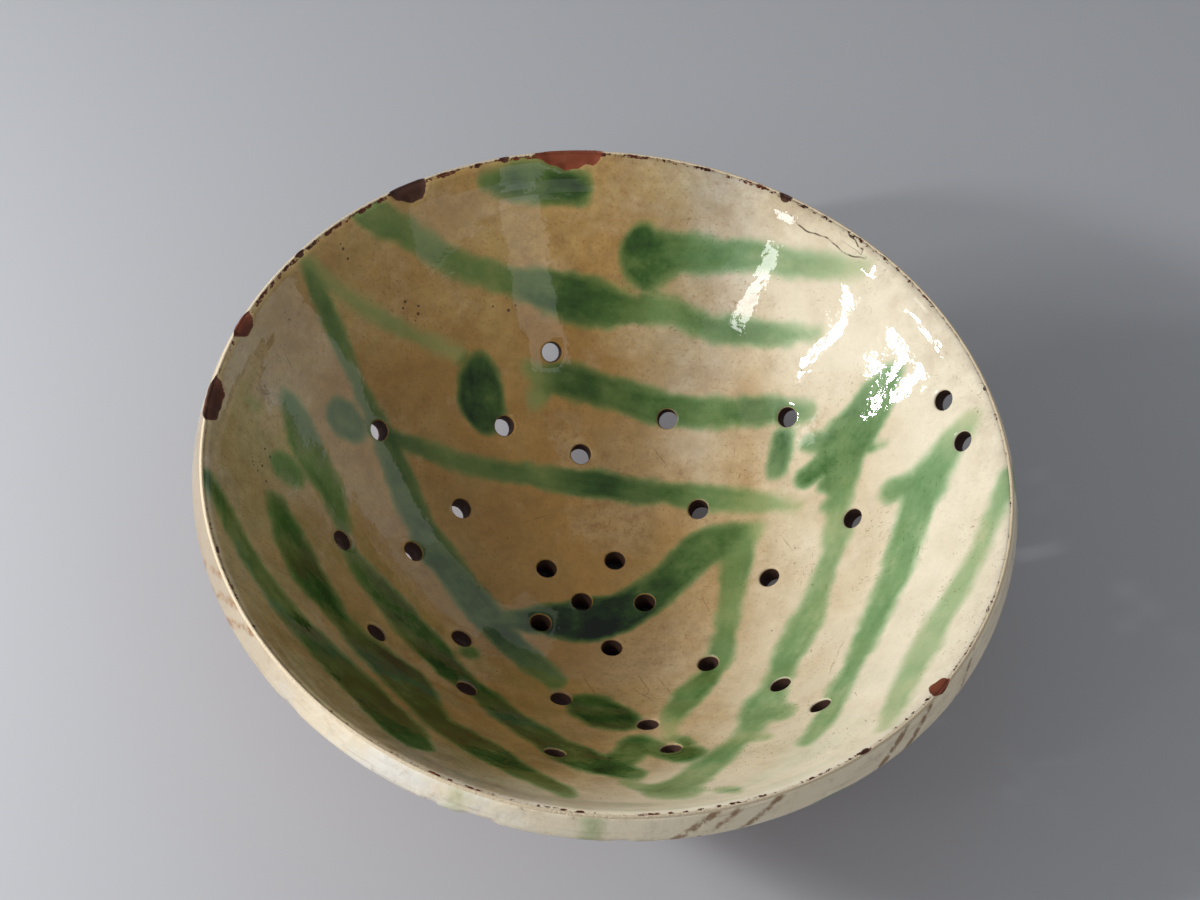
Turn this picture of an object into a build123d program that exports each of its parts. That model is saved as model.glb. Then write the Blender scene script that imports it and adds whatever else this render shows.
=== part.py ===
"""Glazed earthenware colander bowl: clay wall, rolled collar, foot ring, two glaze coats and green strokes.

Millimetres. The foot stands on z = 0 with the bowl's axis on Z.
Holes and strokes are laid out in plan, with +Y at the far side.
"""

import os
from math import asin, atan2, cos, radians, sin, tan

from build123d import *

# Inside of the bowl in section: a straight wall down from the lip, then a round floor that it runs into
LIP_RADIUS = 175.2
BOWL_DEPTH = 108.5
WALL_DEGREES = 49.0

# Clay below that line, measured upright, so the wall is thinner than the floor
CLAY_THICKNESS = 11.0
FLOOR_CLEARANCE = 6.0
COLLAR_HEIGHT = 17.0

# Collar: a straight band from the lip down to a rounded nose that overhangs the wall
NOSE_OVERHANG = 5.3
NOSE_DROP = 12.9
NOSE_ROUND = 3.5
LIP_ROUND = 1.2

# Foot ring
FOOT_RADIUS = 56.0
FOOT_WIDTH = 9.0
FOOT_DRAFT = 1.5
FOOT_BEVEL = 1.5

# Coats: thickness square to the wall inside and level on the collar, with bare clay left along the lip
GLAZE = 0.8
STROKE = 0.3
LIP_WEAR = 0.3
NOSE_GLAZE = 2.0

# Drain holes: punched square to the wall round a centre that the potter took by eye
HOLE_RADIUS = 4.6
PUNCH_CENTRE = (-3.5, -7.0)
PUNCHED = {
    "middle": [(0, 0)],
    "inner ring": [(28, 63), (23, 141), (23, 222), (29, 304), (29, 7)],
    "second ring": [(71, 48), (74, 98), (69, 152), (63, 216), (61, 267), (68, 332)],
    "third ring": [(85, 10), (97, 73), (90, 122), (79, 179), (82, 237), (82, 296)],
    "outer ring": [(122, 17), (122, 47), (115, 105), (114, 154), (110, 187)],
    "outer ring at the front": [(104, 213), (104, 269), (104, 297)],
    "strays": [(105, 330), (130, 326)],
}
EDGE_INSET = 15.0
EDGE_BEARINGS = [16.5, 25]

# Chips along the lip: bearing in degrees, length along the rim, reach down the inside
CHIP_DEPTH = 1.8
CHIPS = [(103, 30, 9), (129, 21, 7), (166, 18, 5), (180, 25, 6), (328, 11, 4)]

# Brush strokes in plan: points along the middle of the stroke, and its width at even steps from end to end
TOP_STROKES = [
    ([(-74, 150), (-50, 157), (-30, 160)], [6, 11, 6]),
    ([(2, 146), (25, 146), (55, 144), (80, 138), (103, 131)], [17, 13, 11, 9, 5]),
    ([(-122, 121), (-80, 121), (-25, 125), (20, 125), (55, 118), (84, 112)], [7, 9, 16, 11, 10, 6]),
    ([(-40, 95), (-10, 94), (30, 89), (72, 86)], [10, 14, 13, 11]),
    ([(-67, 90), (-64, 78), (-59, 67)], [12, 25, 12]),
]
CENTRE_STROKES = [
    ([(-144, 82), (-125, 62), (-104, 41), (-85, 13), (-50, -21), (-12, -56)], [8, 8, 12, 16, 16, 11]),
    ([(-100, 43), (-60, 48), (-8, 54), (35, 53), (75, 46)], [8, 9, 13, 11, 7]),
    ([(-44, -28), (-10, -19), (16, -10), (38, 14), (58, 30)], [10, 18, 22, 17, 16]),
    ([(66, 28), (64, 0), (62, -33), (52, -57), (44, -72)], [15, 11, 11, 13, 10]),
    ([(-127, 37), (-116, 38)], [16, 16]),
]
LEFT_STROKES = [
    ([(-142, 22), (-127, 6), (-117, -10)], [10, 17, 10]),
    ([(-167, -41), (-140, -70), (-105, -102), (-80, -121), (-64, -141)], [6, 10, 17, 19, 15]),
    ([(-139, -27), (-112, -56), (-77, -87), (-40, -115), (-2, -149)], [12, 21, 24, 18, 11]),
    ([(-107, -25), (-75, -51), (-49, -73), (-20, -95), (22, -121)], [9, 18, 12, 16, 15]),
    ([(3, -69), (21, -80)], [20, 20]),
    ([(29, -96), (40, -103), (52, -106)], [15, 12, 18]),
    ([(36, -140), (48, -146)], [15, 17]),
]
RIGHT_STROKES = [
    ([(116, 82), (104, 66), (108, 40)], [26, 34, 14]),
    ([(79, 76), (79, 61)], [9, 6]),
    ([(108, 20), (97, -23), (85, -62), (70, -100), (54, -127)], [9, 15, 12, 9, 13]),
    ([(152, 48), (137, 20), (125, -32), (110, -75), (98, -106)], [12, 16, 12, 9, 8]),
    ([(169, 10), (158, -28), (140, -70), (127, -110)], [7, 9, 10, 6]),
]

FLOOR_Z = FLOOR_CLEARANCE + CLAY_THICKNESS
LIP_Z = FLOOR_Z + BOWL_DEPTH
SEAM_Z = LIP_Z - COLLAR_HEIGHT
NOSE_Z = LIP_Z - NOSE_DROP

# The floor's circle is centred on the axis, touches the wall's line and reaches the bowl's full depth
WALL_SLOPE = radians(WALL_DEGREES)
FLOOR_ARC = (LIP_RADIUS * tan(WALL_SLOPE) - BOWL_DEPTH) / (1 / cos(WALL_SLOPE) - 1)
ARC_Z = FLOOR_Z + FLOOR_ARC
TURN_RADIUS = FLOOR_ARC * sin(WALL_SLOPE)

# Bare clay from the lip's sharp corner down: the run of its rounding, and a little wear
BAND_SLOPE = atan2(NOSE_DROP, NOSE_OVERHANG)
BARE_LIP = LIP_ROUND * tan((WALL_SLOPE + BAND_SLOPE) / 2) + LIP_WEAR


def hollow(coat):
    """The bowl's hollow in section, less a coat of the given thickness laid square to the clay."""
    floor = CenterArc((0, ARC_Z), FLOOR_ARC - coat, -90, WALL_DEGREES)
    lip = (LIP_RADIUS - coat / sin(WALL_SLOPE), LIP_Z)
    return make_face([floor, Polyline(floor @ 1, lip, (0, LIP_Z), floor @ 0)])


def between(low, high):
    """Wide face that keeps only what lies between two heights."""
    return Pos(0, (low + high) / 2) * Rectangle(4 * LIP_RADIUS, high - low)


def turned(section):
    """Solid of revolution about the bowl's axis."""
    return revolve(Plane.XZ * section, Axis.Z)


def wall_spot(radius):
    """Height of the clay's inside at a plan radius, and its slope there."""
    if radius < TURN_RADIUS:
        slope = asin(radius / FLOOR_ARC)
        return ARC_Z - FLOOR_ARC * cos(slope), slope
    return LIP_Z - (LIP_RADIUS - radius) * tan(WALL_SLOPE), WALL_SLOPE


def drain_holes():
    """One cylinder for each hole, square to the wall and long enough to pass through it."""
    length = 4 * (CLAY_THICKNESS + GLAZE + STROKE)
    centre = Vector(*PUNCH_CENTRE)
    cutters = []
    punched = sum(PUNCHED.values(), [])
    places = [centre + Vector(reach, 0).rotate(Axis.Z, bearing) for reach, bearing in punched]
    places += [Vector(LIP_RADIUS - EDGE_INSET, 0).rotate(Axis.Z, bearing) for bearing in EDGE_BEARINGS]
    for place in places:
        height, slope = wall_spot(place.length)
        axis = Vector(0, 0, cos(slope)) - place.normalized() * sin(slope)
        cutters.append(Plane(place + Vector(0, 0, height), z_dir=axis) * Cylinder(HOLE_RADIUS, length))
    return cutters


def lip_chips():
    """Shallow ball cutters that flake the lip, each as long and as deep as its chip."""
    lip = Vector(LIP_RADIUS, 0, LIP_Z)
    along = Vector(cos(WALL_SLOPE), 0, sin(WALL_SLOPE))
    square = Vector(-sin(WALL_SLOPE), 0, cos(WALL_SLOPE))
    cutters = []
    for bearing, length, reach in CHIPS:
        ball = length**2 / (8 * CHIP_DEPTH) + CHIP_DEPTH / 2
        centre = lip + along * (length / 2 - reach) + square * (ball - CHIP_DEPTH)
        cutters.append(Rot(0, 0, bearing) * Pos(centre) * Sphere(ball))
    return cutters


def collar_section(spread):
    """Collar in section, its band and nose pushed out by a coat's thickness."""
    nose = (LIP_RADIUS + NOSE_OVERHANG + spread, NOSE_Z)
    lip = (LIP_RADIUS + spread, LIP_Z)
    seam = (LIP_RADIUS - (COLLAR_HEIGHT - CLAY_THICKNESS) / tan(WALL_SLOPE), SEAM_Z)
    block = make_face(Polyline((0, SEAM_Z), (0, LIP_Z), lip, nose, seam, close=True))
    nose_corner = block.vertices().sort_by(Axis.X)[-1]
    return fillet(nose_corner, NOSE_ROUND + spread) - hollow(0)


def foot_section():
    """Foot ring in section: drafted, bevelled where it stands, and cut to the bowl's underside."""
    inner = FOOT_RADIUS - FOOT_WIDTH
    outer_top = (FOOT_RADIUS + FOOT_DRAFT, FLOOR_Z)
    inner_top = (inner - FOOT_DRAFT, FLOOR_Z)
    block = make_face(Polyline((inner, 0), (FOOT_RADIUS, 0), outer_top, inner_top, close=True))
    standing = block.vertices().sort_by(Axis.Y)[:2]
    return chamfer(standing, FOOT_BEVEL) - underside


def brush_stroke(path, widths):
    """Plan outline of a brush stroke: a spline along each side of its middle line, closed by round ends."""
    middle = Spline(*path) if len(path) > 2 else Line(*path)
    left, right = [], []
    for step, width in enumerate(widths):
        share = step / (len(widths) - 1)
        along = middle % share
        side = Vector(-along.Y, along.X) * (width / 2)
        left.append(middle @ share + side)
        right.append(middle @ share - side)
    tip = middle @ 1 + middle % 1 * (widths[-1] / 2)
    tail = middle @ 0 - middle % 0 * (widths[0] / 2)
    sides = [Spline(*left), Spline(*right)] if len(left) > 2 else [Line(*left), Line(*right)]
    ends = [ThreePointArc(left[-1], tip, right[-1]), ThreePointArc(right[0], tail, left[0])]
    return make_face(sides + ends)


underside = Pos(0, -CLAY_THICKNESS) * hollow(0)
holes = drain_holes()
chips = lip_chips()

collar = collar_section(0)
lip_corner = collar.vertices().sort_by(Axis.Y)[-1]
rounded_collar = fillet(lip_corner, LIP_ROUND)

wall_section = (underside - hollow(0)) & between(0, SEAM_Z)
below_lip = between(0, LIP_Z - BARE_LIP)
lining_section = (hollow(0) - hollow(GLAZE)) & below_lip
stroke_section = (hollow(GLAZE) - hollow(GLAZE + STROKE)) & below_lip
band = between(NOSE_Z - NOSE_GLAZE, LIP_Z - BARE_LIP)
rim_glaze_section = (collar_section(GLAZE) - collar) & band

parts = {
    "clay_wall": turned(wall_section) - holes,
    "rim_collar": turned(rounded_collar) - holes - chips,
    "foot_ring": turned(foot_section()),
    "glaze_lining": turned(lining_section) - holes - chips,
    "rim_glaze": turned(rim_glaze_section) - chips,
}

# Each group of strokes is cut from one thin coat over the lining, and stops where an earlier group lies
stroke_coat = turned(stroke_section) - holes - chips
painted = Sketch()
for name, strokes in {
    "green_centre_hook": CENTRE_STROKES,
    "green_top_strokes": TOP_STROKES,
    "green_left_fan": LEFT_STROKES,
    "green_right_stripes": RIGHT_STROKES,
}.items():
    outline = Sketch() + [brush_stroke(path, widths) for path, widths in strokes]
    parts[name] = stroke_coat & extrude(outline - painted, LIP_Z)
    painted += outline

os.makedirs("parts", exist_ok=True)
for name, part in parts.items():
    export_step(part, f"parts/{name}.step")
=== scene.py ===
"""Looks of the glazed earthenware colander bowl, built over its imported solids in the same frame."""

from math import cos, pi, radians, sin

import bpy
import numpy as np
from mathutils import Matrix, Vector


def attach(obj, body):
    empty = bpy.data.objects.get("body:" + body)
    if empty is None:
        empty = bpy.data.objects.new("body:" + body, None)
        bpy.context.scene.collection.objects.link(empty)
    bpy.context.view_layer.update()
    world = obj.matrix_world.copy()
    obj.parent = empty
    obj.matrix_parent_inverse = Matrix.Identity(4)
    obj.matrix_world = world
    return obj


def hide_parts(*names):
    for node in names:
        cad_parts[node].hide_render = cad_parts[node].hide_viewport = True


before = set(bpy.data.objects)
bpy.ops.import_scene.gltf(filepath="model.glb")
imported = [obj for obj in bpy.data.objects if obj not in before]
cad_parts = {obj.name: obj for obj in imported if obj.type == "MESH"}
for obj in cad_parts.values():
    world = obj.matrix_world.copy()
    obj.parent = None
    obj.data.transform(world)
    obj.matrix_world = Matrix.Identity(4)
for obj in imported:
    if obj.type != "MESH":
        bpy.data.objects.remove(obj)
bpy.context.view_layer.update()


# Clay wall: the bowl as thrown on the wheel from red earthenware, a round floor running into a steep flare.
# Its drain holes were pushed through with a punch, square to the wall, while the clay was soft.
# Sizes are in millimetres here and everywhere below, and go into the meshes in metres.
MM = 0.001
FLOOR_TOP = 17.8
SQUARE, CUBE, FOURTH = 14.794, 23.143, -6.519
GLAZE = 0.8
UNDER_GLAZE = 0.2
CLAY = 11.0
HOLE_RADIUS = 4.62
DRAIN_HOLES = np.array([
    (-3.5, -7.1), (9.1, 17.5), (-21.7, 7.6), (25.3, -3.7), (-20.7, -22.8), (12.9, -31.1),
    (44.4, 45.7), (-13.6, 66.5), (-6.7, -67.6), (56.5, -38.9), (-64.6, 25.8), (-54.5, -44.5),
    (79.8, 8.0), (-82.3, -5.9), (-50.8, 69.6), (32.6, -80.4), (24.4, 85.6), (-48.2, -76.5),
    (87.7, -58.6), (43.1, -99.9), (-33.9, 104.1), (-90.4, -63.6), (-6.0, -110.9), (-106.1, 42.2),
    (79.3, 82.3), (-112.7, -20.6), (112.9, 28.9), (103.5, -80.4), (144.8, 68.2), (154.1, 46.1),
])


def inside_height(radius):
    """Height of the glazed inside over a plan radius: a quartic, flat on the axis and steeper to the rim."""
    x = radius / 100
    return FLOOR_TOP + x**2 * (SQUARE + x * (CUBE + FOURTH * x))


def inside_slope(radius):
    """Angle of the inside to the level: the arc tangent of that quartic's rise."""
    x = radius / 100
    return np.arctan(x * (2 * SQUARE + x * (3 * CUBE + 4 * FOURTH * x)) / 100)


def inside_square(plan):
    """Unit direction square to the inside at plan points: upright, leaned towards the axis by the slope."""
    radius = np.linalg.norm(plan, axis=-1)
    slope = inside_slope(radius)
    outward = plan / np.maximum(radius, 1e-6)[..., None]
    return np.concatenate([-outward * np.sin(slope)[..., None], np.cos(slope)[..., None]], -1)


KEPT_RINGS = 18
EASINGS = 80


def disc_grid(ring_radius):
    """Plan points of a square grid bent to a disc: its m-th square ring becomes the m-th circle.

    Round each circle the ring's points are evenly spaced, so a quarter of them fills each quarter turn.
    Inside the outer rings every point is then moved to the mean of its four neighbours, again and again,
    which takes the kinks out of the grid's diagonals.
    """
    n = len(ring_radius) - 1
    i, j = np.meshgrid(np.arange(-n, n + 1), np.arange(-n, n + 1), indexing="ij")
    ring = np.maximum(np.abs(i), np.abs(j))
    across = np.abs(i) >= np.abs(j)
    major = np.where(across, i, j)
    share = np.where(across, j, -i) / np.where(major == 0, 1, major)
    start = np.where(across, np.where(i >= 0, 0.0, pi), np.where(j >= 0, pi / 2, 3 * pi / 2))
    bearing = start + share * pi / 4
    radius = ring_radius[ring]
    grid = np.stack([radius * np.cos(bearing), radius * np.sin(bearing)], -1)
    loose = (ring < n - KEPT_RINGS)[1:-1, 1:-1, None]
    for _ in range(EASINGS):
        mean = (grid[2:, 1:-1] + grid[:-2, 1:-1] + grid[1:-1, 2:] + grid[1:-1, :-2]) / 4
        grid[1:-1, 1:-1] = np.where(loose, mean, grid[1:-1, 1:-1])
    return grid


def square_border(half):
    """Steps in i and j once round the border of a square that reaches half cells each way."""
    up = np.arange(-half, half)
    flat = np.full(2 * half, half)
    return np.concatenate([flat, -up, -flat, up]), np.concatenate([up, flat, -up, -flat])


def pierced_sheet(ring_radius, centres, block, fan):
    """Plan points, sinks, hole axes, quads and borders of a disc with a round hole at each centre.

    A block of grid cells round each centre is left out. Rings of points run from the block's border to the
    hole: fan lists for each ring its share of circle to border, its distance outside the hole and its depth
    below the sheet.
    """
    n = len(ring_radius) - 1
    wide = 2 * n + 1
    grid = disc_grid(ring_radius)
    knot = np.arange(wide * wide).reshape(wide, wide)
    nearest = np.linalg.norm(grid.reshape(-1, 1, 2) - centres, axis=2).argmin(0)
    ci, cj = nearest // wide - n, nearest % wide - n
    cell = np.arange(-n, n)
    near_i = (cell >= (ci - block)[:, None]) & (cell < (ci + block)[:, None])
    near_j = (cell >= (cj - block)[:, None]) & (cell < (cj + block)[:, None])
    kept = ~(near_i[:, :, None] & near_j[:, None, :]).any(0)
    quads = np.stack([knot[:-1, :-1], knot[1:, :-1], knot[1:, 1:], knot[:-1, 1:]], -1)[kept]

    edge_i, edge_j = square_border(block)
    border = knot[ci[:, None] + edge_i + n, cj[:, None] + edge_j + n]
    radius = np.linalg.norm(centres, axis=1)
    outward = centres / np.maximum(radius, 1e-6)[:, None]
    sideways = np.stack([-outward[:, 1], outward[:, 0]], -1)
    squeeze = np.cos(inside_slope(radius))
    offset = grid.reshape(-1, 2)[border] - centres[:, None]
    local = np.stack([np.einsum("hkc,hc->hk", offset, outward) / squeeze[:, None],
                      np.einsum("hkc,hc->hk", offset, sideways)], -1)
    circle = local / np.linalg.norm(local, axis=-1, keepdims=True)
    share, out, sink = (np.array(column)[None, :, None] for column in zip(*fan))
    rings = ((1 - share[..., None]) * local[:, None]
             + (share * (HOLE_RADIUS + out))[..., None] * circle[:, None])
    plan = (centres[:, None, None] + rings[..., :1] * (squeeze[:, None] * outward)[:, None, None]
            + rings[..., 1:] * sideways[:, None, None])

    start = wide * wide
    fan_knot = start + np.arange(plan.shape[0] * plan.shape[1] * plan.shape[2]).reshape(plan.shape[:3])
    rows = np.concatenate([border[:, None], fan_knot], 1)
    ahead = np.roll(rows, -1, 2)
    strips = np.stack([rows[:, :-1], ahead[:, :-1], ahead[:, 1:], rows[:, 1:]], -1).reshape(-1, 4)

    points = np.concatenate([grid.reshape(-1, 2), plan.reshape(-1, 2)])
    depth = np.concatenate([np.zeros(start), np.broadcast_to(sink, plan.shape[:3]).ravel()])
    axis = inside_square(points)
    hole_axis = inside_square(centres)[:, None, None]
    axis[start:] = np.broadcast_to(hole_axis, plan.shape[:3] + (3,)).reshape(-1, 3)
    quads = np.concatenate([quads, strips])
    used, flat_index = np.unique(quads, return_inverse=True)
    new = np.zeros(len(points), int)
    new[used] = np.arange(len(used))
    edge_i, edge_j = square_border(n)
    rim = new[knot[edge_i + n, edge_j + n]]
    return points[used], depth[used], axis[used], flat_index.reshape(-1, 4), rim, new[fan_knot[:, -1]]


def loop_strip(low, high):
    """Quads between two closed loops of the same count of points."""
    return np.stack([low, np.roll(low, -1, -1), np.roll(high, -1, -1), high], -1).reshape(-1, 4)


def mesh_piece(name, points, quads, **values):
    """Smooth object at the origin from points in millimetres, with one value per point under each name."""
    mesh = bpy.data.meshes.new(name)
    mesh.from_pydata((points * MM).tolist(), [], quads.tolist())
    mesh.shade_smooth()
    for key, value in values.items():
        mesh.attributes.new(key, "FLOAT", "POINT").data.foreach_set("value", value.astype(np.float32))
    piece = bpy.data.objects.new(name, mesh)
    bpy.context.scene.collection.objects.link(piece)
    return piece


def wander(turn, seed, size, fewest=3, most=14):
    """Hand-made unevenness round the bowl: a seeded sum of sine waves, slower ones larger."""
    draw = np.random.default_rng(seed)
    waves = np.arange(fewest, most)
    phase = draw.uniform(0, 2 * pi, len(waves))
    height = draw.uniform(0.4, 1, len(waves)) / np.sqrt(waves)
    swell = height[:, None] * np.sin(waves[:, None] * turn.ravel() + phase[:, None])
    return size * swell.sum(0).reshape(turn.shape)


# The clay's top and underside, each with its rings round the axis and its rings of points into a hole
top_rings = np.concatenate([np.linspace(0, 148, 62), np.linspace(149.4, 167.6, 16)])
low_rings = np.concatenate([np.linspace(0, 153, 62), np.linspace(154.2, 171.8, 16)])
HOLE_BLOCK = 4
punch_top = [(0.5, 0.8, 0), (1, 0.7, 0), (1, 0.3, 0.4), (1, 0, 1.2)]
punch_low = [(0.4, 0.9, 0), (0.8, 0.9, 0.1), (1, 0.8, 0.2), (1, 0.35, -0.1), (1, 0.05, -0.8), (1, 0, -2.0)]
# A hole comes out below where its axis, square to the inside, leaves the clay
through = CLAY * np.cos(inside_slope(np.linalg.norm(DRAIN_HOLES, axis=1)))
low_holes = DRAIN_HOLES - (inside_square(DRAIN_HOLES) * through[:, None])[:, :2]

plan, sink, axis, top_quads, top_rim, top_holes = pierced_sheet(top_rings, DRAIN_HOLES, HOLE_BLOCK, punch_top)
# Painted shade inside each hole, growing with the depth below the top
top_hole_shade = np.clip(sink / 0.4, 0, 1)
top = np.column_stack([plan, inside_height(np.hypot(*plan.T))]) - axis * (GLAZE + UNDER_GLAZE + sink)[:, None]
plan, sink, axis, low_quads, low_rim, low_rims = pierced_sheet(low_rings, low_holes, HOLE_BLOCK, punch_low)
radius = np.hypot(*plan.T)
turn = np.arctan2(plan[:, 1], plan[:, 0])
# Throwing rings outside: spirals of two pitches, which fade in outside the foot
FINE_PITCH, BROAD_PITCH = 7.5, 23
FINE_RING, BROAD_RING = 0.22, 0.3
RINGS_FROM, RINGS_FADE = 62, 20
shown = np.clip((radius - RINGS_FROM) / RINGS_FADE, 0, 1)
throwing = FINE_RING * np.sin(2 * pi * (radius / FINE_PITCH + turn / (2 * pi))) * shown
throwing += BROAD_RING * np.sin(2 * pi * (radius / BROAD_PITCH + turn / (2 * pi))) * shown
hollow = sink + np.where(sink == 0, throwing, 0)
low = np.column_stack([plan, inside_height(radius) - GLAZE - CLAY]) - axis * hollow[:, None]
points = np.concatenate([top, low])
shift = len(top)
quads = np.concatenate([
    top_quads, low_quads[:, ::-1] + shift,
    loop_strip(low_rim + shift, top_rim), loop_strip(top_holes, low_rims + shift),
])
# Painted shade inside each hole, growing up the hole from the underside
low_hole_shade = np.clip(-sink / 0.8, 0, 1)
clay_wall = mesh_piece("clay_wall", points, quads, hole_stain=np.concatenate([top_hole_shade, low_hole_shade]))


def group(name, inputs, outputs):
    """Empty shader node group with float or colour sockets, and its input and output nodes."""
    tree = bpy.data.node_groups.new(name, "ShaderNodeTree")
    for title, kind, value in inputs:
        tree.interface.new_socket(title, in_out="INPUT", socket_type=kind).default_value = value
    for title, kind in outputs:
        tree.interface.new_socket(title, in_out="OUTPUT", socket_type=kind)
    return tree, tree.nodes.new("NodeGroupInput"), tree.nodes.new("NodeGroupOutput")


def wire(value, socket):
    """Links a socket to another of its tree, or sets the socket to a plain value."""
    if isinstance(value, bpy.types.NodeSocket):
        socket.id_data.links.new(value, socket)
    else:
        socket.default_value = value


def noise(tree, scale, detail=2.0, rough=0.5, place=None, stretch=None):
    """Noise over Object coordinates in metres, or over a given place; its factor socket."""
    if place is None:
        place = tree.nodes.new("ShaderNodeTexCoord").outputs["Object"]
    if stretch is not None:
        mapping = tree.nodes.new("ShaderNodeMapping")
        wire(place, mapping.inputs["Vector"])
        mapping.inputs["Scale"].default_value = stretch
        place = mapping.outputs["Vector"]
    node = tree.nodes.new("ShaderNodeTexNoise")
    wire(place, node.inputs["Vector"])
    node.inputs["Scale"].default_value = scale
    node.inputs["Detail"].default_value = detail
    node.inputs["Roughness"].default_value = rough
    return node.outputs["Fac"]


def tree_of(*values):
    """Node tree of the first socket among values."""
    return next(value.id_data for value in values if isinstance(value, bpy.types.NodeSocket))


def maths(operation, a, b=0.0):
    """One Math node over sockets or numbers; its result socket."""
    node = tree_of(a, b).nodes.new("ShaderNodeMath")
    node.operation = operation
    wire(a, node.inputs[0])
    wire(b, node.inputs[1])
    return node.outputs[0]


def plus(a, b):
    """Sum of two sockets or numbers."""
    return maths("ADD", a, b)


def minus(a, b):
    """Difference of two sockets or numbers."""
    return maths("SUBTRACT", a, b)


def times(a, b):
    """Product of two sockets or numbers."""
    return maths("MULTIPLY", a, b)


def ease(value, low, high, low_out=0.0, high_out=1.0):
    """Smooth step of a value from one bound to another."""
    node = value.id_data.nodes.new("ShaderNodeMapRange")
    node.interpolation_type = "SMOOTHSTEP"
    for socket, given in zip(node.inputs[:5], (value, low, high, low_out, high_out)):
        wire(given, socket)
    return node.outputs[0]


def blend(share, a, b, mode="MIX"):
    """Mix of two colours by a share; its colour socket."""
    node = tree_of(share, a, b).nodes.new("ShaderNodeMix")
    node.data_type = "RGBA"
    node.blend_type = mode
    wire(share, node.inputs["Factor"])
    wire(a, node.inputs[6])
    wire(b, node.inputs[7])
    return node.outputs[2]


def attribute(tree, name):
    """Value of a mesh attribute."""
    node = tree.nodes.new("ShaderNodeAttribute")
    node.attribute_name = name
    return node.outputs["Fac"]


def surface(name):
    """New material with its node tree and its one Principled shader."""
    material = bpy.data.materials.new(name)
    material.use_nodes = True
    return material, material.node_tree, material.node_tree.nodes["Principled BSDF"]


def raise_height(shader, height, distance):
    """Feeds a height, times a distance in metres, to the shader's normal."""
    node = shader.id_data.nodes.new("ShaderNodeBump")
    node.inputs["Distance"].default_value = distance
    node.inputs["Strength"].default_value = 1.0
    wire(height, node.inputs["Height"])
    wire(node.outputs["Normal"], shader.inputs["Normal"])


FRESH_CLAY = (0.19, 0.036, 0.009, 1)
OLD_CLAY = (0.05, 0.013, 0.005, 1)
DUSTY_CLAY = (0.36, 0.17, 0.09, 1)
# Painted shade for the clay inside the drain holes
HOLE_SHADE = (0.045, 0.015, 0.006, 1)
FIRED_SKIN = (0.37, 0.145, 0.068, 1)
CLAY_GRAIN = 0.0004

fired_clay, given, result = group(
    "fired_clay", [("Age", "NodeSocketFloat", 0.4)],
    [("Color", "NodeSocketColor"), ("Height", "NodeSocketFloat")])
cloud = noise(fired_clay, 45, 4, 0.6)
grain = noise(fired_clay, 900, 3, 0.65)
stain = ease(plus(cloud, given.outputs["Age"]), 0.7, 1.2)
tone = blend(stain, FRESH_CLAY, OLD_CLAY)
tone = blend(ease(noise(fired_clay, 160, 3), 0.55, 0.8, 0, 0.2), tone, DUSTY_CLAY)
tone = blend(ease(grain, 0.62, 0.75, 0, 0.5), tone, OLD_CLAY)
wire(tone, result.inputs["Color"])
wire(grain, result.inputs["Height"])


def use(tree, made, **values):
    """Places a node group in a material, with its own values."""
    node = tree.nodes.new("ShaderNodeGroup")
    node.node_tree = made
    for key, value in values.items():
        wire(value, node.inputs[key])
    return node


bare_wall, tree, shader = surface("bare_wall")
clay = use(tree, fired_clay, Age=0.25)
baked = ease(noise(tree, 18, 5, 0.65), 0.3, 0.65, 0.35, 0.85)
skin = blend(baked, clay.outputs["Color"], FIRED_SKIN)
skin = blend(ease(noise(tree, 420, 3, 0.7), 0.6, 0.75, 0, 0.5), skin, OLD_CLAY)
# The clay inside the holes is darkened with painted shade
wire(blend(attribute(tree, "hole_stain"), skin, HOLE_SHADE), shader.inputs["Base Color"])
shader.inputs["Roughness"].default_value = 0.82
raise_height(shader, clay.outputs["Height"], CLAY_GRAIN)
clay_wall.data.materials.append(bare_wall)
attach(clay_wall, "root")
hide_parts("clay_wall")


# Foot ring: a low ring turned from the same clay under the floor, so the holes stand clear of the ground.
# Its standing face is rubbed smooth and a little dirty from use.
FOOT_OUTLINE = np.array([
    (47.4, 0.0), (50.0, 0.0), (53.0, 0.0), (55.4, 0.0), (56.2, 1.2), (56.8, 6.0), (57.3, 12.5), (57.6, 15.2),
    (51.0, 17.5), (45.5, 12.5), (45.9, 8.0), (46.6, 1.4),
])
FOOT_AROUND = 360


def rounded(outline, passes=3):
    """Closed outline with cut corners: each pass puts points at a quarter and three quarters of each side."""
    for _ in range(passes):
        ahead = np.roll(outline, -1, -2)
        outline = np.stack([0.75 * outline + 0.25 * ahead, 0.25 * outline + 0.75 * ahead], -2)
        outline = outline.reshape(outline.shape[:-3] + (-1, 2))
    return outline


def carried_round(outlines):
    """Points and quads of a closed outline carried once round the axis, one outline per bearing."""
    count, steps = outlines.shape[:2]
    turn = np.arange(count) * 2 * pi / count
    points = np.stack([outlines[..., 0] * np.cos(turn)[:, None], outlines[..., 0] * np.sin(turn)[:, None],
                       outlines[..., 1]], -1)
    knot = np.arange(count * steps).reshape(count, steps)
    ahead = np.roll(knot, -1, 0)
    quads = np.stack([knot, ahead, np.roll(ahead, -1, 1), np.roll(knot, -1, 1)], -1)
    return points.reshape(-1, 3), quads.reshape(-1, 4)


foot_outlines = np.repeat(rounded(FOOT_OUTLINE)[None], FOOT_AROUND, 0)
turn = np.arange(FOOT_AROUND) * 2 * pi / FOOT_AROUND
foot_outlines[..., 0] += wander(turn, 5, 0.12)[:, None]
points, quads = carried_round(foot_outlines)
foot_ring = mesh_piece("foot_ring", points, quads)


def placing(tree):
    """Object coordinates in metres: their one socket, and the sockets X, Y and Z."""
    place = tree.nodes.new("ShaderNodeTexCoord").outputs["Object"]
    split = tree.nodes.new("ShaderNodeSeparateXYZ")
    wire(place, split.inputs[0])
    return place, split.outputs


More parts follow.
